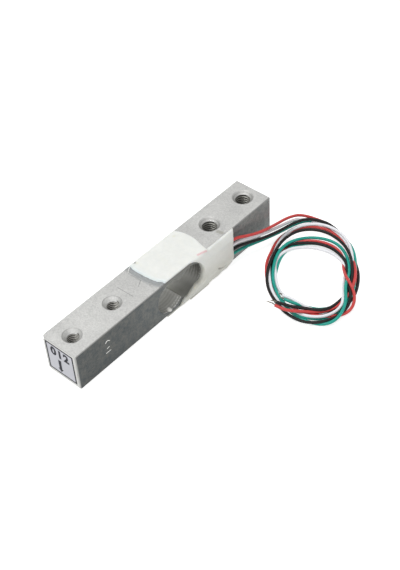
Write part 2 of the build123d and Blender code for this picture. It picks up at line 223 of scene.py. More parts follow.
def grain_group():
    """Node group: fine grain over broad clouds, as a tone between 0 and 1 and as a height."""
    group = bpy.data.node_groups.new("grain_and_clouds", "ShaderNodeTree")
    for name, value in (("Grain Scale", 3000.0), ("Cloud Scale", 150.0), ("Cloud Share", 0.4)):
        socket = group.interface.new_socket(name=name, in_out="INPUT", socket_type="NodeSocketFloat")
        socket.default_value = value
    for name in ("Tone", "Height"):
        group.interface.new_socket(name=name, in_out="OUTPUT", socket_type="NodeSocketFloat")
    entry = group.nodes.new("NodeGroupInput")
    leave = group.nodes.new("NodeGroupOutput")
    place = own_place(group)
    layers = []
    for scale, detail in (("Grain Scale", 3.0), ("Cloud Scale", 4.0)):
        pattern = group.nodes.new("ShaderNodeTexNoise")
        pattern.inputs["Detail"].default_value = detail
        pattern.inputs["Roughness"].default_value = 0.6
        group.links.new(place, pattern.inputs["Vector"])
        group.links.new(entry.outputs[scale], pattern.inputs["Scale"])
        layers.append(step_up(group, pattern.outputs["Fac"], 0.3, 0.7))
    fine, clouds = layers
    mixed = group.nodes.new("ShaderNodeMix")
    group.links.new(entry.outputs["Cloud Share"], mixed.inputs["Factor"])
    group.links.new(fine, mixed.inputs["A"])
    group.links.new(clouds, mixed.inputs["B"])
    group.links.new(mixed.outputs["Result"], leave.inputs["Tone"])
    group.links.new(fine, leave.inputs["Height"])
    return group


def scratch_group():
    """Node group: a mask that is 1 on the line between two points and fades over its width."""
    group = bpy.data.node_groups.new("scratch_line", "ShaderNodeTree")
    for name in ("Start", "End"):
        group.interface.new_socket(name=name, in_out="INPUT", socket_type="NodeSocketVector")
    group.interface.new_socket(name="Width", in_out="INPUT", socket_type="NodeSocketFloat")
    group.interface.new_socket(name="Mask", in_out="OUTPUT", socket_type="NodeSocketFloat")
    entry = group.nodes.new("NodeGroupInput")
    leave = group.nodes.new("NodeGroupOutput")

    def vector_math(operation, *values):
        """A Vector Math node fed with sockets."""
        node = group.nodes.new("ShaderNodeVectorMath")
        node.operation = operation
        for socket, value in zip(node.inputs, values):
            group.links.new(value, socket)
        return node

    place = own_place(group)
    run = vector_math("SUBTRACT", entry.outputs["End"], entry.outputs["Start"]).outputs["Vector"]
    offset = vector_math("SUBTRACT", place, entry.outputs["Start"]).outputs["Vector"]
    along = math_node(group, "DIVIDE", vector_math("DOT_PRODUCT", offset, run).outputs["Value"],
                      vector_math("DOT_PRODUCT", run, run).outputs["Value"])
    clamped = group.nodes.new("ShaderNodeClamp")
    group.links.new(along, clamped.inputs["Value"])
    foot = vector_math("SCALE", run)
    group.links.new(clamped.outputs["Result"], foot.inputs["Scale"])
    away = vector_math("SUBTRACT", offset, foot.outputs["Vector"]).outputs["Vector"]
    distance = vector_math("LENGTH", away).outputs["Value"]
    share = math_node(group, "DIVIDE", distance, entry.outputs["Width"])
    group.links.new(step_down(group, share, 0.3, 1.0), leave.inputs["Mask"])
    return group


grain_and_clouds = grain_group()
scratch_line = scratch_group()


def grain(tree, grain_scale, cloud_scale=150.0, cloud_share=0.4):
    """The grain group with its values, for its Tone and its Height."""
    node = tree.nodes.new("ShaderNodeGroup")
    node.node_tree = grain_and_clouds
    node.inputs["Grain Scale"].default_value = grain_scale
    node.inputs["Cloud Scale"].default_value = cloud_scale
    node.inputs["Cloud Share"].default_value = cloud_share
    return node.outputs


def scratch(tree, start, end, width):
    """The mask of one scratch."""
    node = tree.nodes.new("ShaderNodeGroup")
    node.node_tree = scratch_line
    node.inputs["Start"].default_value = start
    node.inputs["End"].default_value = end
    node.inputs["Width"].default_value = width
    return node.outputs["Mask"]


def relief(tree, bsdf, height, depth):
    """Bump of that depth in metres."""
    node = tree.nodes.new("ShaderNodeBump")
    node.inputs["Distance"].default_value = depth
    tree.links.new(height, node.inputs["Height"])
    tree.links.new(node.outputs["Normal"], bsdf.inputs["Normal"])


def plain_finish(name, low, high, roughness, grain_scale, depth, metallic=0.0, specular=0.5):
    """Two close tones in fine grains and clouds, with a slight relief."""
    made, tree, bsdf = shader(name)
    tone = grain(tree, grain_scale)
    tree.links.new(tint(tree, tone["Tone"], low, high), bsdf.inputs["Base Color"])
    bsdf.inputs["Roughness"].default_value = roughness
    bsdf.inputs["Metallic"].default_value = metallic
    bsdf.inputs["Specular IOR Level"].default_value = specular
    relief(tree, bsdf, tone["Height"], depth)
    return made


# Where the tones of the beam change, each as from and to. Along the beam: from its platform's to
# its base's end, and from the left to the right side's tone, a painted shade lightening towards the base
MIDDLE = (-0.001, 0.001)
SIDE_SHADE_CHANGE = (-0.035, 0.060)
# Across the beam, all with painted shade: the drawn side face, its chamfer, and the strip above the bores
SIDE_FACE = (BEAM_SIDE - 0.00006, BEAM_SIDE - 0.00002)
CHAMFER_STRIP = (BEAM_SIDE - 0.00026, BEAM_SIDE - 0.00022)
SHADED_STRIP = (BEAM_SIDE - 0.0003, BEAM_SIDE - 0.0002)
# The part of the side above the bores given painted shade: distance from the beam's middle, and height
SHADED_ALONG = (0.0045, 0.0075)
SHADED_LEVELS = (0.0015, 0.0030)
# The bores: their wall, their inside and mouth, their lips with painted glints, and the right one's low wall
BORE_WALL = (BORE_RADIUS + 0.00002, BORE_RADIUS + 0.00006)
BORE_MOUTH = (0.0030, 0.0050)
BORE_LIP = (0.0048, 0.0058)
LOW_WALL = (-0.0044, -0.0020)
LOW_WALL_ALONG = (0.0005, 0.0062)
# The tapped holes: the thread's root and the countersink by the distance from the axis, what lies
# below the face, the lower end of the line round the mouth, and how much deeper it lies at the base
THREAD_ROOT = (0.00166, 0.00184)
SINK_REACH = (0.0029, 0.0030)
BELOW_FACE = (0.00001, 0.00004)
RIM_LINE_END = (0.00014, 0.00024)
BASE_RIM_DEPTH = 0.0003


def towards_base(tree, places):
    """0 at the platform's end of the beam and 1 at the base's."""
    return step_up(tree, places["X"], *MIDDLE)


def from_hole_axis(tree, places):
    """Distance from the axis of the nearest tapped hole, less what a hole of the base is wider."""
    row = math_node(tree, "SUBTRACT", math_node(tree, "ABSOLUTE", places["X"]), HOLE_MIDDLE)
    along = math_node(tree, "SUBTRACT", math_node(tree, "ABSOLUTE", row), HOLE_PITCH / 2)
    wider = product(tree, towards_base(tree, places), BASE_THREAD["outer"] - PLATFORM_THREAD["outer"])
    return math_node(tree, "SUBTRACT", hypotenuse(tree, along, places["Y"]), wider)


def thread_finish():
    """Metal with painted shade in the roots of its threads and over the base holes' threads."""
    made, tree, bsdf = shader("thread_metal")
    tone = grain(tree, 3000.0)
    places = axis_places(tree)
    crest = tint(tree, tone["Tone"], (0.26, 0.255, 0.235), (0.40, 0.39, 0.365))
    # Painted shade: the threads of the base's holes darker, as their depth lies in shade
    crest = tint(tree, towards_base(tree, places), crest, (0.16, 0.158, 0.145))
    # Painted shade in the roots of the threads
    root = step_up(tree, from_hole_axis(tree, places), *THREAD_ROOT)
    tree.links.new(tint(tree, root, crest, (0.06, 0.06, 0.055)), bsdf.inputs["Base Color"])
    bsdf.inputs["Roughness"].default_value = 0.4
    bsdf.inputs["Metallic"].default_value = 1.0
    relief(tree, bsdf, tone["Height"], 0.00001)
    return made


# Tones of the beam's metal, the lowest and the highest of each
GROUND_FACE = ((0.395, 0.395, 0.388), (0.57, 0.57, 0.555))
# The sides' tones: their drawn finish darkened with painted shade, lighter towards the base's end
LEFT_SIDE_WITH_SHADE = ((0.050, 0.060, 0.065), (0.108, 0.109, 0.101))
RIGHT_SIDE_WITH_SHADE = ((0.185, 0.202, 0.204), (0.320, 0.328, 0.312))
# The bores' tones carry painted shade: the left darker inside, the right darker as in the coat's shade
LEFT_BORE_MOUTH = ((0.46, 0.46, 0.44), (0.58, 0.58, 0.56))
LEFT_BORE_INSIDE_SHADED = ((0.37, 0.37, 0.35), (0.46, 0.46, 0.44))
RIGHT_BORE_SHADED = ((0.20, 0.20, 0.19), (0.32, 0.32, 0.30))
# Painted light on the right bore's shaded low wall, from a bright tone to a dark one along the beam
BORE_FLOOR_LIGHT = ((0.86, 0.86, 0.82), (0.38, 0.38, 0.36))
# Painted shade on the side and its edge above the bores, under the coat's overhang
SHADED_SIDE = (0.16, 0.16, 0.145)
SHADED_EDGE = (0.13, 0.13, 0.12)
# Painted shade on the chamfers
CHAMFER_SHADE = (0.20, 0.20, 0.195)
# Painted glint on the bores' lips
LIP_GLINT = (0.98, 0.98, 0.97)
# Painted shade in the base's countersinks and round every mouth
SUNK_SHADE = (0.26, 0.26, 0.25)
RIM_SHADE = (0.20, 0.20, 0.19)


def outside_tone(tree, places, tone, side):
    """Ground faces; drawn sides, chamfers and the strip above the bores given painted shade."""
    ground = tint(tree, tone["Tone"], *GROUND_FACE)
    blotches = grain(tree, 1100.0, 420.0, 0.5)
    # Drawn sides darkened with painted shade, lighter from the platform's end to the base's
    left_side_shaded = tint(tree, blotches["Tone"], *LEFT_SIDE_WITH_SHADE)
    right_side_shaded = tint(tree, blotches["Tone"], *RIGHT_SIDE_WITH_SHADE)
    drawn_and_shaded = tint(tree, step_up(tree, places["X"], *SIDE_SHADE_CHANGE), left_side_shaded, right_side_shaded)
    beside = math_node(tree, "ABSOLUTE", places["Y"])
    # Painted shade on the side above the bores and on its edge, under the coat's overhang
    side_shade = product(tree, step_down(tree, math_node(tree, "ABSOLUTE", places["X"]), *SHADED_ALONG),
                   step_up(tree, places["Z"], *SHADED_LEVELS))
    drawn_and_shaded = tint(tree, product(tree, side_shade, 0.7), drawn_and_shaded, SHADED_SIDE)
    edge_shade = product(tree, side_shade, step_up(tree, beside, *SHADED_STRIP))
    colour = tint(tree, side, tint(tree, edge_shade, ground, SHADED_EDGE), drawn_and_shaded)
    # Painted shade along the chamfers of the ground faces
    chamfer_shade = product(tree, step_up(tree, beside, *CHAMFER_STRIP),
                      math_node(tree, "SUBTRACT", 1.0, side), 0.75)
    return tint(tree, chamfer_shade, colour, CHAMFER_SHADE)


def bore_walls(tree, places, side):
    """1 on the walls of the two side bores."""
    from_axis = math_node(tree, "SUBTRACT", math_node(tree, "ABSOLUTE", places["X"]), BORE_OFFSET)
    reach = hypotenuse(tree, from_axis, places["Z"])
    return product(tree, step_down(tree, reach, *BORE_WALL), math_node(tree, "SUBTRACT", 1.0, side))


def cutter_rings(tree):
    """The rings that the cutter left in the bores, as dark and light bands across the beam."""
    rings = tree.nodes.new("ShaderNodeTexWave")
    rings.bands_direction = "Y"
    rings.inputs["Scale"].default_value = 330.0
    rings.inputs["Distortion"].default_value = 2.5
    rings.inputs["Detail"].default_value = 3.0
    rings.inputs["Detail Scale"].default_value = 3.0
    tree.links.new(own_place(tree), rings.inputs["Vector"])
    return rings.outputs["Fac"]


def bore_tone(tree, places, tone, rings, broken_rings):
    """Pale left, dark right bore with painted shade; painted light low in the right; painted lip glints."""
    beside = math_node(tree, "ABSOLUTE", places["Y"])
    left_bore = tint(tree, step_up(tree, beside, *BORE_MOUTH), tint(tree, broken_rings, *LEFT_BORE_INSIDE_SHADED),
                     tint(tree, broken_rings, *LEFT_BORE_MOUTH))
    # Painted light on the right bore's low wall, which lies in shade
    painted_low_light = product(tree, 0.9, step_down(tree, places["Z"], *LOW_WALL))
    right_bore = tint(tree, painted_low_light, tint(tree, broken_rings, *RIGHT_BORE_SHADED),
                      tint(tree, step_up(tree, places["X"], *LOW_WALL_ALONG), *BORE_FLOOR_LIGHT))
    colour = tint(tree, towards_base(tree, places), left_bore, right_bore)
    # Painted glints on the bores' lips, on the light rings
    lip_glints = product(tree, step_up(tree, beside, *BORE_LIP), step_up(tree, tone["Tone"], 0.56, 0.68), rings)
    return tint(tree, lip_glints, colour, LIP_GLINT)


def shade_countersinks(tree, places, colour):
    """Painted shade in the countersinks of the base's holes, and a painted shadow line round every mouth."""
    base_end = towards_base(tree, places)
    below = math_node(tree, "SUBTRACT", BEAM_TOP, math_node(tree, "ABSOLUTE", places["Z"]))
    sunk = product(tree, step_up(tree, below, *BELOW_FACE),
                   step_down(tree, from_hole_axis(tree, places), *SINK_REACH))
    # Painted shade on the base's countersinks
    colour = tint(tree, product(tree, sunk, base_end, 0.3), colour, SUNK_SHADE)
    below = math_node(tree, "SUBTRACT", below, product(tree, base_end, BASE_RIM_DEPTH))
    # Painted shadow line round every mouth
    rim_shade = product(tree, step_up(tree, below, *BELOW_FACE), step_down(tree, below, *RIM_LINE_END), sunk)
    return tint(tree, product(tree, rim_shade, 0.4), colour, RIM_SHADE)


# Marks on the top face of the beam: start, end and width of each
TOP_SCRATCHES = (
    ((-0.01494, 0.0030, BEAM_TOP), (-0.01472, -0.00285, BEAM_TOP), 0.00012),
    ((-0.00888, -0.00012, BEAM_TOP), (-0.01108, -0.0013, BEAM_TOP), 0.00012),
)
TOP_SMUDGE = ((0.0191, -0.0040, BEAM_TOP), (0.0194, -0.0052, BEAM_TOP), 0.0009)


def mark_top(tree, colour):
    """Two dark scratches and a brownish smudge on the top face."""
    for line in TOP_SCRATCHES:
        colour = tint(tree, product(tree, scratch(tree, *line), 0.65), colour, (0.12, 0.12, 0.12))
    return tint(tree, product(tree, scratch(tree, *TOP_SMUDGE), 0.55), colour, (0.27, 0.265, 0.22))


def beam_finish():
    """Ground top, bottom and ends; drawn sides and cutter-ringed bores, both with painted shade."""
    made, tree, bsdf = shader("beam_metal")
    places = axis_places(tree)
    tone = grain(tree, 2600.0, 90.0, 0.35)
    side = step_up(tree, math_node(tree, "ABSOLUTE", places["Y"]), *SIDE_FACE)
    bored = bore_walls(tree, places, side)
    rings = cutter_rings(tree)
    broken_rings = product(tree, rings, math_node(tree, "ADD", tone["Tone"], 0.35))
    colour = tint(tree, bored, outside_tone(tree, places, tone, side),
                  bore_tone(tree, places, tone, rings, broken_rings))
    colour = mark_top(tree, shade_countersinks(tree, places, colour))
    tree.links.new(colour, bsdf.inputs["Base Color"])
    bsdf.inputs["Metallic"].default_value = 1.0
    rough = tree.nodes.new("ShaderNodeMapRange")
    tree.links.new(tone["Tone"], rough.inputs["Value"])
    rough.inputs["To Min"].default_value = 0.42
    rough.inputs["To Max"].default_value = 0.55
    tree.links.new(rough.outputs["Result"], bsdf.inputs["Roughness"])
    height = tree.nodes.new("ShaderNodeMix")
    tree.links.new(bored, height.inputs["Factor"])
    tree.links.new(tone["Height"], height.inputs["A"])
    tree.links.new(product(tree, broken_rings, 0.3), height.inputs["B"])
    relief(tree, bsdf, height.outputs["Result"], 0.00003)
    return made


# Faint yellow spots in the silicone: place and radius
SILICONE_SPOTS = (((0.0093, 0.00416, 0.0070), 0.0007), ((-0.0052, 0.0049, 0.0070), 0.0008))


def point_value(tree, name):
    """One of the values that a mesh stores for its points."""
    node = tree.nodes.new("ShaderNodeAttribute")
    node.attribute_name = name
    return node.outputs["Fac"]


def silicone_finish():
    """Milky silicone; painted shade low on the side and in crevices; a clear film with painted shadow."""
    made, tree, bsdf = shader("silicone")
    places = axis_places(tree)
    tone = grain(tree, 700.0, 220.0, 0.6)
    milky = tint(tree, tone["Tone"], (0.77, 0.785, 0.75), (0.84, 0.85, 0.81))
    # Painted shade: the side of the coat darker low down, where it faces away from the light
    low_shade = tint(tree, tone["Tone"], (0.60, 0.60, 0.54), (0.68, 0.68, 0.62))
    colour = tint(tree, step_down(tree, places["Z"], -0.003, 0.0056), milky, low_shade)
    for spot, radius in SILICONE_SPOTS:
        mask = scratch(tree, spot, (spot[0] + 0.0001, spot[1], spot[2]), radius)
        colour = tint(tree, product(tree, mask, 0.2), colour, (0.70, 0.66, 0.38))
    colour = tint(tree, point_value(tree, "near_rim"), colour, (0.66, 0.76, 0.78))
    colour = tint(tree, point_value(tree, "red_below"), colour, (0.72, 0.36, 0.38))
    # Painted shade in the crevice under the leads and in the far notch
    colour = tint(tree, point_value(tree, "crevice"), colour, (0.13, 0.13, 0.12))
    film = step_up(tree, point_value(tree, "film"), 0.4, 0.6)
    # The film's grey is partly its own and partly painted shadow of the coat's edge
    colour = tint(tree, film, colour, (0.40, 0.43, 0.44))
    tree.links.new(colour, bsdf.inputs["Base Color"])
    clear = product(tree, film, point_value(tree, "film_clearness"))
    tree.links.new(math_node(tree, "SUBTRACT", 1.0, clear), bsdf.inputs["Alpha"])
    bsdf.inputs["Roughness"].default_value = 0.38
    bsdf.inputs["Subsurface Weight"].default_value = 0.25
    bsdf.inputs["Subsurface Radius"].default_value = (0.0012, 0.0011, 0.0009)
    bsdf.inputs["Subsurface Scale"].default_value = 1.0
    relief(tree, bsdf, tone["Height"], 0.00002)
    return made


# Label at the beam's end: the corners of its printed border as Y and Z, the width of the border's
# line, the thickness of the print, and the outlines of the arrow in the label's own plane
LABEL_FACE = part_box("end_label")[0][0]
BORDER_LOW, BORDER_HIGH = (-0.0052, -0.00505), (0.0052, 0.00560)
BORDER_LINE = 0.00050
PRINT_THICKNESS = 0.00003
ARROW_SHAFT = ((0.0, 0.0005, 0), (-0.0011, 0.0005, 0), (-0.0011, -0.0029, 0), (-0.0001, -0.0029, 0))
ARROW_HEAD = ((0.0004, -0.0029, 0), (-0.0016, -0.0029, 0), (-0.0006, -0.0042, 0))


def label_finish():
    """Bluish paper inside the printed border and a paler margin outside it."""
    made, tree, bsdf = shader("label_paper")
    places = axis_places(tree)
    tone = grain(tree, 5000.0)
    paper = tint(tree, tone["Tone"], (0.55, 0.555, 0.60), (0.62, 0.625, 0.665))
    margin = tint(tree, tone["Tone"], (0.68, 0.68, 0.66), (0.76, 0.76, 0.73))
    beside = math_node(tree, "GREATER_THAN", math_node(tree, "ABSOLUTE", places["Y"]), BORDER_HIGH[0])
    above = math_node(tree, "GREATER_THAN", places["Z"], BORDER_HIGH[1])
    below = math_node(tree, "LESS_THAN", places["Z"], BORDER_LOW[1])
    outside = math_node(tree, "MAXIMUM", beside, math_node(tree, "MAXIMUM", above, below))
    tree.links.new(tint(tree, outside, paper, margin), bsdf.inputs["Base Color"])
    bsdf.inputs["Roughness"].default_value = 0.6
    relief(tree, bsdf, tone["Height"], 0.000004)
    return made


# The finishes; the numbers of a plain one are its two tones, its roughness, the scale of its grain
# and the depth of its relief
finishes = {
    "beam": beam_finish(),
    "gauge_film": plain_finish("amber_film", (0.50, 0.28, 0.05), (0.56, 0.33, 0.07), 0.35, 2000, 0.000005),
    "gauge_foil": plain_finish("etched_foil", (0.50, 0.44, 0.36), (0.60, 0.53, 0.44), 0.3, 6000, 0.000003,
                               metallic=1.0),
    "terminal_strip": plain_finish("strip_board", (0.03, 0.12, 0.04), (0.05, 0.16, 0.06), 0.4, 3000, 0.00001),
    "copper": plain_finish("pad_copper", (0.80, 0.45, 0.28), (0.88, 0.52, 0.34), 0.3, 4000, 0.000003,
                           metallic=1.0),
    "solder": plain_finish("solder", (0.55, 0.55, 0.56), (0.66, 0.66, 0.67), 0.25, 2500, 0.00002,
                           metallic=1.0),
    "strand": plain_finish("tinned_strand", (0.13, 0.115, 0.09), (0.24, 0.215, 0.18), 0.35, 5000, 0.000005,
                           metallic=1.0),
    "silicone": silicone_finish(),
    "glue": plain_finish("glue", (0.72, 0.72, 0.68), (0.84, 0.84, 0.80), 0.12, 1500, 0.00001),
    "label": label_finish(),
    "thread": thread_finish(),
    "stamp": plain_finish("stamp_metal", (0.70, 0.70, 0.67), (0.86, 0.86, 0.83), 0.35, 3000, 0.00001,
                          metallic=1.0),
    "print": plain_finish("label_print", (0.012, 0.012, 0.02), (0.03, 0.03, 0.04), 0.5, 4000, 0.000002,
                          specular=0.08),
    "coil_insulation": plain_finish("coil_skin", (0.08, 0.08, 0.08), (0.12, 0.12, 0.12), 0.5, 2000, 0.00001),
    "wire_red": plain_finish("red_insulation", (0.52, 0.048, 0.046), (0.60, 0.065, 0.060), 0.42, 1200,
                             0.00002, specular=0.35),
    "wire_white": plain_finish("white_insulation", (0.80, 0.805, 0.84), (0.865, 0.87, 0.895), 0.4, 1200,
                               0.00002, specular=0.3),
    "wire_black": plain_finish("black_insulation", (0.008, 0.008, 0.008), (0.018, 0.017, 0.017), 0.5, 1200,
                               0.00002, specular=0.2),
    "wire_green": plain_finish("green_insulation", (0.008, 0.28, 0.22), (0.014, 0.36, 0.29), 0.42, 1200,
                               0.00002, specular=0.35),
}


def dress(piece, finish_name):
    """Gives a piece one of the finishes."""
    piece.data.materials.clear()
    piece.data.materials.append(finishes[finish_name])


def finish_piece(piece, slot_name, finish_name=None):
    """Gives a new piece the finish named by its slot, or the one given, and the body it rides on."""
    dress(piece, finish_name or slot_name)
    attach(piece, "root")


# Slot of each node that is carried over, by the start of its name
NODE_SLOTS = {
    "beam": "beam", "gauge_film": "gauge_film", "gauge_grid": "gauge_foil", "link_wire": "copper",
    "jumper": "copper", "terminal_strip": "terminal_strip", "solder_pads": "copper",
    "solder_joints": "solder", "silicone_coat": "silicone", "bottom_coat": "silicone",
    "glue_drop": "glue", "end_label": "label", "strand": "strand", "lead_coil": "coil_insulation",
    "lead_red": "wire_red", "lead_white": "wire_white", "lead_black": "wire_black",
    "lead_green": "wire_green", "tail_red": "wire_red", "tail_white": "wire_white",
    "tail_black": "wire_black", "tail_green": "wire_green",
}


def dress_nodes():
    """Gives every node that is carried over the finish of its slot."""
    for name, node in nodes.items():
        start = next(start for start in NODE_SLOTS if name.startswith(start))
        dress(node, NODE_SLOTS[start])


# Steps between two points of a line: usual, for the short free ends, and for the coat's outline
LINE_STEPS = 6
TAIL_STEPS = 3
OUTLINE_STEPS = 8


def smooth_line(points, steps=LINE_STEPS):
    """A line through every point, with that many steps between two of them."""
    points = np.asarray(points, float)
    ends = np.vstack([2 * points[0] - points[1], points, 2 * points[-1] - points[-2]])
    line = []
    for before, start, end, after in zip(ends, ends[1:], ends[2:], ends[3:]):
        for t in np.arange(steps) / steps:
            line.append(start + (end - before) * t / 2
                        + (2 * before - 5 * start + 4 * end - after) * t**2 / 2
                        + (3 * start - before - 3 * end + after) * t**3 / 2)
    line.append(points[-1])
    return np.array(line)


def even_line(line, step):
    """The line in even steps, and how far along it the new points and the old ones are."""
    along = np.r_[0, np.cumsum(np.linalg.norm(np.diff(line, axis=0), axis=1))]
    places = np.linspace(0, along[-1], int(round(along[-1] / step)) + 1)
    return np.column_stack([np.interp(places, along, line[:, k]) for k in range(3)]), places, along


def seen_from_eye(seen, level):
    """Takes places read on the seen level to their own heights, along the camera's lines of sight."""
    share = (EYE.z - level) / (EYE.z - FLOOR - SEEN_LEVEL)
    return EYE[:2] + (seen - EYE[:2]) * share[:, None]


def coil_line(colour):
    """One lead's turns: its stations joined by a smooth line, in metres."""
    stations = np.array(COIL_STATIONS[colour])
    angles = np.radians(FIRST_STATION - STATION_STEP * np.arange(len(stations)))
    turned = smooth_line(np.column_stack([angles, stations]))
    reach = turned[:, 1:2] / 1000 * np.column_stack([np.cos(turned[:, 0]), np.sin(turned[:, 0])])
    level = FLOOR + WIRE / 2 + LAYER * turned[:, 2]
    return np.column_stack([seen_from_eye(COIL_MIDDLE + reach, level), level])


def tail_points(colour):
    """The points of a lead's free end."""
    return [(x, y, TAIL_LEVEL) for x, y in TAIL_ROUTES[colour]]


def lines_to_settle():
    """All four leads in even steps: their points, how free each of them is, and whose it is."""
    lines, loose, owner = [], [], []
    for number, colour in enumerate(COIL_STATIONS):
        turns = coil_line(colour)
        lead = smooth_line(LEAD_ROUTES[colour] + [turns[0]])[:-1]
        tail = smooth_line(np.vstack([turns[-1], tail_points(colour)]), TAIL_STEPS)[1:]
        free = np.r_[np.zeros(len(lead)), np.ones(len(turns)), np.zeros(len(tail))]
        line, places, along = even_line(np.vstack([lead, turns, tail]), SETTLE_STEP)
        lines.append(line)
        loose.append(np.interp(places, along, free))
        owner += [number] * len(line)
    return np.vstack(lines), np.concatenate(loose), np.array(owner)


def near_pairs(points, owner):
    """Pairs of points that lie near each other but aren't neighbours on one lead."""
    gap = np.linalg.norm(points[:, None] - points, axis=2)
    first, second = np.where(np.triu(gap < 3 * WIRE, 1))
    apart = (owner[first] != owner[second]) | (second - first > 3)
    return first[apart], second[apart]


def moves_apart(points, first, second):
    """Moves that take overlapping pairs apart, less for a point that overlaps several others."""
    away = points[first] - points[second]
    gap = np.linalg.norm(away, axis=1)
    squeeze = np.clip(WIRE - gap, 0, None)
    push = away * (squeeze / np.maximum(gap, 1e-9) / 2)[:, None]
    move = np.zeros_like(points)
    np.add.at(move, first, push)
    np.add.at(move, second, -push)
    touching = np.bincount(np.r_[first, second][np.r_[squeeze, squeeze] > 0], minlength=len(points))
    return move / np.sqrt(np.maximum(touching, 1))[:, None]


def settled_turns():
    """The turns of all four leads, eased apart where they cross and let down on the floor."""
    points, loose, owner = lines_to_settle()
    level = points[:, 2].copy()
    share = (EYE.z - FLOOR - SEEN_LEVEL) / (EYE.z - level)
    seen = EYE[:2] + (points[:, :2] - EYE[:2]) * share[:, None]
    middle = 1 + np.where((owner[1:-1] == owner[:-2]) & (owner[1:-1] == owner[2:]))[0]
    for turn in range(SETTLE_ROUNDS):
        if turn % SEARCH_ROUNDS == 0:
            first, second = near_pairs(points, owner)
        move = moves_apart(points, first, second)
        move[:, :2] += SIGHT_PULL * (seen_from_eye(seen, points[:, 2]) - points[:, :2])
        move[:, 2] += LEVEL_PULL * (level - points[:, 2]) - SAG
        move[middle] += STIFFNESS * ((points[middle - 1] + points[middle + 1]) / 2 - points[middle])
        points = points + move * loose[:, None]
        points[:, 2] = np.maximum(points[:, 2], FLOOR + WIRE / 2)
    return {colour: points[(owner == number) & (loose > 0.99)] for number, colour in enumerate(COIL_STATIONS)}


def wire_curve(name, points, radius=WIRE / 2, roundness=4):
    """A round wire on one smooth open spline with these control points."""
    data = bpy.data.curves.new(name, "CURVE")
    data.dimensions = "3D"
    data.resolution_u = 4
    data.bevel_depth = radius
    data.bevel_resolution = roundness
    data.use_fill_caps = True
    spline = data.splines.new("NURBS")
    spline.points.add(len(points) - 1)
    for point, place in zip(spline.points, points):
        point.co = (*place, 1)
    spline.order_u = 3
    spline.use_endpoint_u = True
    wire = bpy.data.objects.new(name, data)
    bpy.context.scene.collection.objects.link(wire)
    return wire


def spline_length(wire):
    """The length of a wire's own line."""
    data = wire.data.copy()
    data.bevel_depth = 0
    data.use_fill_caps = False
    probe = bpy.data.objects.new("probe", data)
    line = bpy.data.meshes.new_from_object(probe)
    places = [vertex.co for vertex in line.vertices]
    length = sum((after - before).length for before, after in zip(places, places[1:]))
    bpy.data.objects.remove(probe)
    bpy.data.meshes.remove(line)
    bpy.data.curves.remove(data)
    return length


# The bared strand of each lead: its length, the number of wires in it and their diameter
STRAND_LENGTHS = {"red": 0.0030, "black": 0.0019, "white": 0.0013, "green": 0.0014}
STRAND_WIRES = 5
STRAND_WIRE = 0.00014
# How its wires lie: points of each, turns about each other, distance from the middle, how far they
# part at the tip, how much shorter each is than the one before, and the sideways bend
STRAND_POINTS = 9
STRAND_TURNS = 0.6
STRAND_SPREAD = 0.00011
STRAND_PARTING = 0.00010
STRAND_STAGGER = 0.08
STRAND_BEND = 0.00025


def make_strands(colour):
    """The bared end of a lead: thin wires that wind about each other and part at the tip."""
    start, end = (Vector(place) for place in tail_points(colour)[-2:])
    run = (end - start).normalized()
    up = Vector((0, 0, 1))
    side = run.cross(up).normalized()
    wires = []
    for number in range(STRAND_WIRES):
        points = []
        for share in np.linspace(0, 1, STRAND_POINTS):
            angle = math.tau * (number / STRAND_WIRES + STRAND_TURNS * share)
            spread = STRAND_SPREAD + STRAND_PARTING * share**3 * (number % 3)
            reach = STRAND_LENGTHS[colour] * share * (1 - STRAND_STAGGER * number)
            bend = STRAND_BEND * math.sin(math.pi * share)
            points.append(end + run * reach + side * (spread * math.cos(angle) + bend)
                          + up * spread * math.sin(angle))
        wires.append(wire_curve(f"strand_wires_{colour}", points, STRAND_WIRE / 2, 2))
    piece = one_mesh(wires)
    finish_piece(piece, "strand")
    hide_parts(f"strand_{colour}")
    return piece


def make_wires():
    """Each lead as one cord from its solder joint over its turns in the coil to its bared end."""
    for colour, turns in settled_turns().items():
        points = LEAD_ROUTES[colour] + [tuple(place) for place in turns[::POINT_STEP]] + tail_points(colour)
        wire = wire_curve(f"wire_{colour}", points)
        finish_piece(wire, f"wire_{colour}")
        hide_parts(f"lead_{colour}", f"tail_{colour}", "lead_coil")
        spline_length(wire)
        make_strands(colour)


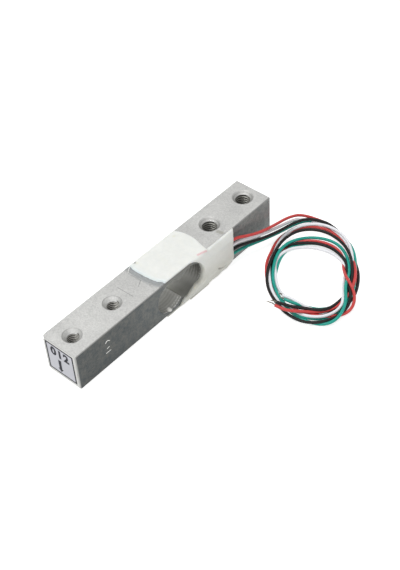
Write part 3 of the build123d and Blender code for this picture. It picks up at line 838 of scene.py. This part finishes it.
# The silicone coat, drawn on the beam's unrolled surface: x along the beam, and up from the near
# top edge, above zero on the top face and below zero on the side face. For each stretch of its
# outline: the points, and how far inside the outline the coat takes to reach its full thickness.
COAT_OUTLINE = {
    "near": ([(-0.0092, 0.01245), (-0.0096, 0.0105), (-0.0096, 0.0080), (-0.0094, 0.0052), (-0.00905, 0.0028),
              (-0.0087, 0.0013), (-0.0080, 0.0002)], 0.0004),
    "edge": ([(-0.0080, 0.0002), (-0.0040, 0.0001), (-0.0015, 0.00005), (0.0027, 0.0)], 0.0004),
    "rim_shade": ([(0.0027, 0.0), (0.0044, -0.00015), (0.0062, -0.00085), (0.0073, -0.0018), (0.0081, -0.0032),
             (0.0085, -0.00535), (0.0081, -0.00745), (0.0070, -0.00855), (0.0054, -0.0087),
             (0.0046, -0.00935), (0.0030, -0.01025), (0.0023, -0.01085), (0.0010, -0.01075),
             (-0.0001, -0.01145), (-0.0011, -0.01275)], 0.0006),
    "foot": ([(-0.0011, -0.01275), (0.0015, -0.0130), (0.0055, -0.01295), (0.0085, -0.01315),
              (0.0112, -0.0129), (0.0140, -0.01305), (0.0165, -0.0128), (0.0190, -0.0129),
              (0.0205, -0.0125), (0.0216, -0.0116)], 0.0006),
    "end": ([(0.0216, -0.0116), (0.02165, -0.0088), (0.0216, -0.0060), (0.02165, -0.0034), (0.0221, -0.0012),
             (0.0228, 0.0002)], 0.0004),
    "shoulder": ([(0.0228, 0.0002), (0.0190, 0.0003), (0.0150, 0.00025), (0.0117, 0.0003)], 0.0012),
    "far": ([(0.0117, 0.0003), (0.0117, 0.0013), (0.0123, 0.0037), (0.0127, 0.0064), (0.01255, 0.0090),
             (0.0121, 0.0108), (0.0112, 0.01245)], 0.0006),
    "back": ([(0.0112, 0.01245), (0.0020, 0.0125), (-0.0092, 0.01245)], 0.0004),
}
# The clear film along the near outline: its width and thickness, how it thins out at the outline,
# where the milky silicone begins and how softly, and how far in its haze and painted shadow grow to the full
FILM_WIDTH = 0.0023
FILM_DEPTH = 0.00005
FILM_THINNING = 0.0003
MILKY_FROM = FILM_WIDTH - 0.0001
MILKY_SOFTNESS = 0.0004
HAZE_AND_SHADE_WIDTH = 0.0010
# The cool tint of the milky silicone beside the film: its strength and width
NEAR_RIM_STRENGTH = 0.6
NEAR_RIM_WIDTH = 0.0006
# The cells of the coat's grid, and the rounds in which they are evened out
COAT_CELL = 0.0002
EVENING_ROUNDS = 6
# Thickness of the coat by the place on the unrolled surface, the thickness under which lumps and
# folds fade out, the height and scale of its fine waves, and the thickness at which its inner skin
# lies, just inside the beam
COAT_LEVELS = (-0.0132, -0.0127, -0.0115, -0.0088, -0.0037, -0.0024, -0.0012, 0.0, 0.0020, 0.0130)
COAT_DEPTHS = (0.00035, 0.0005, 0.0009, 0.00145, 0.00145, 0.00142, 0.00105, 0.00068, 0.00064, 0.00060)
FADING_THICKNESS = 0.0004
WAVE_HEIGHT = 0.00006
WAVE_SCALE = 500
INNER_SKIN = -0.00003
# Half of the band about the beam's edge over which the coat turns from the side to the top
CORNER_BAND = 0.0009
# Lumps of the coat: x, place on the unrolled surface, radius and height
COAT_LUMPS = (
    (0.0186, -0.0117, 0.0009, 0.0003), (0.0150, -0.0118, 0.0012, 0.0003), (0.0172, -0.0098, 0.0010, 0.0002),
    (0.0110, -0.0118, 0.0014, 0.0002), (0.0203, -0.0096, 0.0016, 0.0002), (0.0125, -0.0060, 0.0020, 0.00012),
    (0.0095, -0.0010, 0.0012, 0.00012), (0.0052, 0.0009, 0.0014, 0.00012),
)
# Where a red wire shines through, the crevice under the leads, and the notch in the far edge
RED_BELOW = ((0.0077, 0.0004), (0.0091, 0.0002), (0.0108, -0.0001))
CREVICE = ((0.0147, -0.0088), (0.0152, -0.0097), (0.0162, -0.0102), (0.0172, -0.0103), (0.0178, -0.0101))
FAR_NOTCH = ((-0.0047, 0.0125), (-0.0050, 0.01217), (-0.0053, 0.01184))
# Folds of the coat: line, width and depth; and lines in its colour: mask, line, width and strength
COAT_FOLDS = ((CREVICE, 0.00022, 0.0006), (FAR_NOTCH, 0.0003, 0.0004))
# The crevice lines are painted shade in the folds
COAT_LINES = (("red_below", RED_BELOW, 0.00018, 0.85), ("crevice", CREVICE, 0.0002, 0.45),
              ("crevice", FAR_NOTCH, 0.0003, 0.75))
# A drawn-out thread of glue that curls over the top face, at the coat's near corner
GLUE_THREAD_RADIUS = 0.00011
GLUE_THREAD = ((-0.0071, 0.0057, 0.0065), (-0.0079, 0.0053, 0.00644), (-0.0085, 0.0049, 0.00643),
               (-0.0089, 0.0046, 0.00643), (-0.0093, 0.0044, 0.00643))


def nearest_on(points, line):
    """For each point, its distance to a run of straight pieces and the nearest place on it."""
    best = np.full(len(points), 1.0)
    nearest = np.zeros_like(points)
    for start, end in zip(line, line[1:]):
        run = end - start
        along = np.clip(((points - start) @ run) / (run @ run + 1e-18), 0, 1)
        foot = start + along[:, None] * run
        gap = np.linalg.norm(points - foot, axis=1)
        closer = gap < best
        best[closer] = gap[closer]
        nearest[closer] = foot[closer]
    return best, nearest


def inside(points, line):
    """Which points lie within a closed outline."""
    odd = np.zeros(len(points), bool)
    for start, end in zip(line, line[1:]):
        crosses = (start[1] > points[:, 1]) != (end[1] > points[:, 1])
        level = (points[:, 1] - start[1]) / (end[1] - start[1] + 1e-18)
        odd ^= crosses & (points[:, 0] < start[0] + level * (end[0] - start[0]))
    return odd


def coat_thickness(flat, stretches):
    """The thickness of the coat at places on the unrolled surface."""
    depth = np.interp(flat[:, 1], COAT_LEVELS, COAT_DEPTHS)
    for name, line in stretches.items():
        inward = nearest_on(flat, line)[0] - (FILM_WIDTH if name == "near" else 0)
        share = np.clip(inward / COAT_OUTLINE[name][1], 0, 1)
        depth *= np.sqrt(1 - (1 - share)**2)
    for x, level, radius, height in COAT_LUMPS:
        away = (flat[:, 0] - x)**2 + (flat[:, 1] - level)**2
        depth += height * np.exp(-away / radius**2) * np.clip(depth / FADING_THICKNESS, 0, 1)
    for line, width, hollow in COAT_FOLDS:
        away = nearest_on(flat, smooth_line(line))[0]
        depth -= hollow * np.exp(-(away / width)**2) * np.clip(depth / FADING_THICKNESS, 0, 1)
    waves = [noise.noise(Vector((x * WAVE_SCALE, level * WAVE_SCALE, 0.3))) for x, level in flat]
    depth += WAVE_HEIGHT * np.array(waves) * np.clip(depth / FADING_THICKNESS, 0, 1)
    film = FILM_DEPTH * np.clip(nearest_on(flat, stretches["near"])[0] / FILM_THINNING, 0, 1)
    return np.where(flat[:, 0] < 0, np.maximum(depth, film), np.maximum(depth, 0))


def on_beam(flat, thickness):
    """Places on the unrolled surface, raised by the thickness, in the shared frame."""
    turn = np.clip((CORNER_BAND - flat[:, 1]) / (2 * CORNER_BAND), 0, 1) * math.pi / 2
    y = -BEAM_SIDE + np.maximum(flat[:, 1], 0) - thickness * np.sin(turn)
    z = BEAM_TOP + np.minimum(flat[:, 1], 0) + thickness * np.cos(turn)
    return np.column_stack([flat[:, 0], y, z])


def mesh_piece(name, places, faces):
    """A new piece from its corners and faces."""
    data = bpy.data.meshes.new(name)
    data.from_pydata([tuple(place) for place in places], [], [tuple(int(i) for i in face) for face in faces])
    data.update()
    piece = bpy.data.objects.new(name, data)
    bpy.context.scene.collection.objects.link(piece)
    return piece


def trimmed_grid(outline, cell):
    """A grid of four-sided cells inside a closed outline, with its border drawn onto the outline."""
    low = outline.min(axis=0) - cell
    columns, rows = (np.ceil((outline.max(axis=0) - low) / cell) + 1).astype(int)
    places = low + cell * np.stack(np.meshgrid(range(columns), range(rows), indexing="ij"), -1).reshape(-1, 2)
    corner = (np.arange(columns - 1)[:, None] * rows + np.arange(rows - 1)).ravel()
    cells = np.column_stack([corner, corner + rows, corner + rows + 1, corner + 1])
    cells = cells[inside(places[cells].mean(axis=1), outline)]
    used, cells = np.unique(cells, return_inverse=True)
    cells = cells.reshape(-1, 4)
    flat = places[used]
    sides = np.sort(np.vstack([cells[:, pair] for pair in ([0, 1], [1, 2], [2, 3], [3, 0])]), axis=1)
    sides, shared = np.unique(sides, axis=0, return_counts=True)
    border = np.zeros(len(flat), bool)
    border[sides[shared == 1].ravel()] = True
    flat[border] = nearest_on(flat[border], outline)[1]
    for _ in range(EVENING_ROUNDS):
        total = np.zeros_like(flat)
        np.add.at(total, sides[:, 0], flat[sides[:, 1]])
        np.add.at(total, sides[:, 1], flat[sides[:, 0]])
        average = total / np.bincount(sides.ravel(), minlength=len(flat))[:, None]
        flat[~border] = average[~border]
    return flat, cells[~border[cells].all(axis=1)], border


def point_mask(piece, name, values):
    """Stores one value for each point of a mesh, for its material to read."""
    layer = piece.data.attributes.get(name) or piece.data.attributes.new(name, "FLOAT", "POINT")
    before = np.zeros(len(layer.data), np.float32)
    layer.data.foreach_get("value", before)
    layer.data.foreach_set("value", np.maximum(before, np.asarray(values, np.float32)))


def coat_masks(coat, flat, stretches):
    """Marks the coat's near rim, its film and the lines in its colour."""
    inward = nearest_on(flat, stretches["near"])[0]
    near_rim = NEAR_RIM_STRENGTH * np.exp(-np.maximum(inward - FILM_WIDTH, 0) / NEAR_RIM_WIDTH)
    point_mask(coat, "near_rim", near_rim * (flat[:, 1] > 0.0001))
    film = (0.5 + (MILKY_FROM - inward) / MILKY_SOFTNESS).clip(0, 1)
    point_mask(coat, "film", film * (flat[:, 0] < 0) * (flat[:, 1] > -0.0001))
    # Haze that grows towards the milky silicone, partly painted shadow of the coat's edge
    haze_and_shade = 0.30 * (inward / HAZE_AND_SHADE_WIDTH).clip(0, 1) + 0.20 * (inward / FILM_WIDTH).clip(0, 1)
    point_mask(coat, "film_clearness", 1 - haze_and_shade)
    for name, line, width, strength in COAT_LINES:
        away = nearest_on(flat, smooth_line(line))[0]
        point_mask(coat, name, strength * np.exp(-(away / width)**2))


def make_coat():
    """A grid trimmed to the outline and raised by its thickness, with a second skin on the beam."""
    stretches = {name: smooth_line(points, OUTLINE_STEPS) for name, (points, _) in COAT_OUTLINE.items()}
    outline = np.vstack([line[:-1] for line in stretches.values()] + [stretches["near"][:1]])
    flat, cells, border = trimmed_grid(outline, COAT_CELL)
    outer = on_beam(flat, coat_thickness(flat, stretches))
    inner = on_beam(flat[~border], np.full((~border).sum(), INNER_SKIN))
    under = np.arange(len(flat))
    under[~border] = len(flat) + np.arange(len(inner))
    places = np.vstack([outer, inner])
    places[:, 2] = np.maximum(places[:, 2], FLOOR)
    coat = mesh_piece("silicone_cover", places, np.vstack([cells, under[cells][:, ::-1]]))
    coat.data.polygons.foreach_set("use_smooth", np.ones(len(coat.data.polygons), bool))
    coat_masks(coat, np.vstack([flat, flat[~border]]), stretches)
    finish_piece(coat, "silicone")
    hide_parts("silicone_coat")


def moved_copy(piece, name, along):
    """A copy of a piece, with its own mesh, that far along the beam."""
    copy = bpy.data.objects.new(name, piece.data.copy())
    copy.data.transform(Matrix.Translation((along, 0, 0)))
    bpy.context.scene.collection.objects.link(copy)
    return copy


def only(piece):
    """Makes a piece the one that the operators work on."""
    bpy.ops.object.select_all(action="DESELECT")
    piece.select_set(True)
    bpy.context.view_layer.objects.active = piece


def flat_shape(name, corners):
    """One flat face: a filled circle primitive with its points moved to the corners."""
    bpy.ops.object.select_all(action="DESELECT")
    bpy.ops.mesh.primitive_circle_add(vertices=len(corners), radius=0.001, fill_type="NGON")
    piece = bpy.context.object
    piece.name = name
    for vertex, corner in zip(piece.data.vertices, corners):
        vertex.co = corner
    return piece


def apply_modifier(piece, kind, **settings):
    """Adds one modifier to a piece and applies it."""
    only(piece)
    modifier = piece.modifiers.new(kind.lower(), kind)
    for name, value in settings.items():
        setattr(modifier, name, value)
    bpy.ops.object.modifier_apply(modifier=modifier.name)


def mend(piece, operator, **settings):
    """Runs one operator on the whole mesh in edit mode and turns its faces outwards."""
    only(piece)
    bpy.ops.object.mode_set(mode="EDIT")
    bpy.ops.mesh.select_all(action="SELECT")
    operator(**settings)
    bpy.ops.mesh.normals_make_consistent(inside=False)
    bpy.ops.object.mode_set(mode="OBJECT")


def close_ends(piece):
    """Fills the open ends of a piece."""
    mend(piece, bpy.ops.mesh.fill_holes, sides=0)


def weld(piece):
    """Joins points that lie in the same place."""
    mend(piece, bpy.ops.mesh.remove_doubles, threshold=0.000001)


def one_mesh(curves):
    """Makes several curves one welded mesh."""
    only(curves[0])
    for curve in curves:
        curve.select_set(True)
    bpy.ops.object.convert(target="MESH")
    bpy.ops.object.join()
    piece = bpy.context.object
    weld(piece)
    return piece


# How far a thread's root and a collar reach into the beam's metal, half the width of a ridge at its
# root and at its crest, and the length that a hole's two ends leave free; these three in pitches
ROOT_SUNK = 0.00002
HALF_ROOT = 0.44
HALF_CREST = 0.07
FREE_ENDS = 1.2


def turned_piece(name, section, **settings):
    """A closed piece turned about the Z axis from its section."""
    piece = flat_shape(name, section)
    apply_modifier(piece, "SCREW", axis="Z", use_merge_vertices=True, **settings)
    close_ends(piece)
    return piece


def thread_ridge(name, thread):
    """The ridge of one thread, from countersink to countersink."""
    pitch = thread["pitch"]
    turns = round((BEAM_TOP - thread["sink"]) * 2 / pitch - FREE_ENDS)
    low = -turns * pitch / 2
    root = thread["outer"] + ROOT_SUNK
    section = ((root, 0, low - HALF_ROOT * pitch), (thread["crest"], 0, low - HALF_CREST * pitch),
               (thread["crest"], 0, low + HALF_CREST * pitch), (root, 0, low + HALF_ROOT * pitch))
    return turned_piece(name, section, screw_offset=pitch, iterations=turns, steps=24, render_steps=24)


def thread_collar(name, thread, side):
    """Carries the countersink's cone down to the mouth's radius, above (1) or below (-1)."""
    top = BEAM_TOP - thread["sink"]
    low = top - thread["outer"] + thread["mouth"]
    root = thread["outer"] + ROOT_SUNK
    section = ((root, 0, side * top), (thread["mouth"], 0, side * low), (root, 0, side * low))
    return turned_piece(name, section, screw_offset=0, steps=48, render_steps=48, merge_threshold=0.00001)


def make_threads():
    """A ridge and two collars for one hole of each end, and a copy of them for the other hole."""
    ends = ((PLATFORM_HOLES, PLATFORM_THREAD), (BASE_HOLES, BASE_THREAD))
    for end, ((first, second), thread) in enumerate(ends):
        names = [(f"thread_{number}", f"thread_collar_{number}") for number in (2 * end, 2 * end + 1)]
        ridge = thread_ridge(names[0][0], thread)
        collars = [thread_collar(names[0][1], thread, side) for side in (-1, 1)]
        for piece in (ridge, *collars):
            piece.data.transform(Matrix.Translation((first, 0, 0)))
        for piece in (ridge, moved_copy(ridge, names[1][0], second - first)):
            finish_piece(piece, "beam", "thread")
        for collar in collars:
            finish_piece(moved_copy(collar, names[1][1], second - first), "beam")
            finish_piece(collar, "beam")


# All print is made flat, x to its right and y up, and is then laid on the label by this turn
ON_LABEL = Matrix(((0, 0, -1, LABEL_FACE), (-1, 0, 0, 0), (0, 1, 0, 0), (0, 0, 0, 1)))
# The figures on the label, their size, spacing, boldness and level
FIGURES = "012"
FIGURE_SIZE = 0.0040
FIGURE_SPACING = 1.2
FIGURE_BOLDNESS = 0.00019
FIGURE_LEVEL = 0.0017


def lay_on_label(piece):
    """Lays a piece of print on the label."""
    weld(piece)
    piece.data.transform(ON_LABEL)
    finish_piece(piece, "label", "print")


def make_border():
    """The border of the label, a thin frame."""
    (left, low), (right, high) = BORDER_LOW, BORDER_HIGH
    border = flat_shape("label_border", ((left, low, 0), (right, low, 0), (right, high, 0), (left, high, 0)))
    bpy.ops.object.mode_set(mode="EDIT")
    bpy.ops.mesh.select_all(action="SELECT")
    bpy.ops.mesh.inset(thickness=BORDER_LINE)
    bpy.ops.mesh.delete(type="FACE")
    bpy.ops.object.mode_set(mode="OBJECT")
    apply_modifier(border, "SOLIDIFY", thickness=PRINT_THICKNESS, offset=0.0)
    lay_on_label(border)


def make_arrow():
    """A plain arrow that points down, made of a shaft and a head."""
    shaft = flat_shape("label_arrow", ARROW_SHAFT)
    flat_shape("label_arrow_head", ARROW_HEAD)
    shaft.select_set(True)
    bpy.context.view_layer.objects.active = shaft
    bpy.ops.object.join()
    apply_modifier(shaft, "SOLIDIFY", thickness=PRINT_THICKNESS, offset=0.0)
    lay_on_label(shaft)


def make_figures():
    """Three plain figures in the upper half of the label."""
    bpy.ops.object.text_add(location=(0, 0, 0))
    figures = bpy.context.object
    figures.name = "label_figures"
    figures.data.body = FIGURES
    figures.data.size = FIGURE_SIZE
    figures.data.space_character = FIGURE_SPACING
    figures.data.offset = FIGURE_BOLDNESS
    figures.data.extrude = PRINT_THICKNESS / 2
    only(figures)
    bpy.ops.object.convert(target="MESH")
    figures = bpy.context.object
    across = [vertex.co.x for vertex in figures.data.vertices]
    figures.data.transform(Matrix.Translation((-(min(across) + max(across)) / 2, FIGURE_LEVEL, 0)))
    lay_on_label(figures)


# Punched strokes on the near side of the beam: points of each as x and height, the radius of a
# stroke's rod and how far its middle lies below the face
STAMP_STROKES = (
    ((-0.02955, 0.0027), (-0.02910, 0.0032), (-0.02850, 0.0032), (-0.02790, 0.0026)),
    ((-0.02925, 0.0004), (-0.02830, 0.0007)),
    ((-0.02980, -0.0010), (-0.02790, -0.0010)),
)
STAMP_RADIUS = 0.00011
STAMP_SUNK = 0.00006


def make_stamp():
    """Small plain strokes, as rods let into the side for most of their thickness."""
    rods = []
    for stroke in STAMP_STROKES:
        rods.append(wire_curve("stamp", [(x, -BEAM_SIDE + STAMP_SUNK, z) for x, z in stroke], STAMP_RADIUS))
    finish_piece(one_mesh(rods), "beam", "stamp")


def make_glue_thread():
    """The drawn-out thread of glue at the coat's near corner."""
    finish_piece(one_mesh([wire_curve("glue_thread", GLUE_THREAD, GLUE_THREAD_RADIUS)]), "glue")


# The floor's size and its own glow for the eye, the world's strength as light and what the eye
# sees over it, and the lamps: name, place and power of each, and their size
FLOOR_SIZE = 3.0
FLOOR_GLOW = 0.67
WORLD_LIGHT = 0.50
WORLD_GLOW = 0.50
LAMPS = (("key", (-0.25, 0.15, 0.9), 5.5), ("front", (-0.5, -0.8, 0.5), 1.5))
LAMP_SIZE = 0.6


def white_for_the_eye(tree, light, glow):
    """A strength that lights with the light, and adds the glow for the camera, mirrors and glass."""
    ray = tree.nodes.new("ShaderNodeLightPath").outputs
    seen = math_node(tree, "MAXIMUM", ray["Is Camera Ray"], ray["Is Glossy Ray"])
    seen = math_node(tree, "MAXIMUM", seen, ray["Is Transmission Ray"])
    return math_node(tree, "MULTIPLY_ADD", seen, glow, light)


def make_floor():
    """A plain white floor that keeps the object's shadow."""
    bpy.ops.mesh.primitive_plane_add(size=FLOOR_SIZE, location=(0, 0, FLOOR))
    floor = bpy.context.object
    floor.name = "floor"
    made, tree, bsdf = shader("floor_white")
    bsdf.inputs["Base Color"].default_value = (0.80, 0.80, 0.80, 1)
    bsdf.inputs["Roughness"].default_value = 0.9
    bsdf.inputs["Specular IOR Level"].default_value = 0.0
    bsdf.inputs["Emission Color"].default_value = (1, 1, 1, 1)
    tree.links.new(white_for_the_eye(tree, 0.0, FLOOR_GLOW), bsdf.inputs["Emission Strength"])
    floor.data.materials.append(made)


def make_surround():
    """A white world that the eye sees at full strength and that lights at half of it."""
    world = bpy.data.worlds.new("surround")
    bpy.context.scene.world = world
    world.use_nodes = True
    background = world.node_tree.nodes["Background"]
    background.inputs["Color"].default_value = (1, 1, 1, 1)
    strength = white_for_the_eye(world.node_tree, WORLD_LIGHT, WORLD_GLOW)
    world.node_tree.links.new(strength, background.inputs["Strength"])


def make_lamps():
    """One soft lamp above and a weaker one in front, both towards the beam's middle."""
    for name, place, power in LAMPS:
        lamp = bpy.data.lights.new(name, "AREA")
        lamp.size = LAMP_SIZE
        lamp.energy = power
        holder = bpy.data.objects.new(name, lamp)
        holder.location = place
        holder.rotation_euler = (-Vector(place)).to_track_quat("-Z", "Y").to_euler()
        bpy.context.scene.collection.objects.link(holder)


def make_camera():
    """The camera at the photograph's place."""
    data = bpy.data.cameras.new("camera")
    data.lens = LENS
    data.sensor_width = 36.0
    camera = bpy.data.objects.new("camera", data)
    sight = SIGHT.normalized()
    right = (CAMERA_RIGHT - CAMERA_RIGHT.dot(sight) * sight).normalized()
    up = right.cross(sight)
    turned = Matrix((right, up, -sight)).transposed()
    camera.matrix_world = Matrix.Translation(EYE) @ turned.to_4x4()
    bpy.context.scene.collection.objects.link(camera)
    bpy.context.scene.camera = camera


bpy.context.scene.view_settings.view_transform = "Standard"
make_camera()
dress_nodes()
make_coat()
make_threads()
make_border()
make_arrow()
make_figures()
make_stamp()
make_glue_thread()
make_wires()
make_floor()
make_surround()
make_lamps()
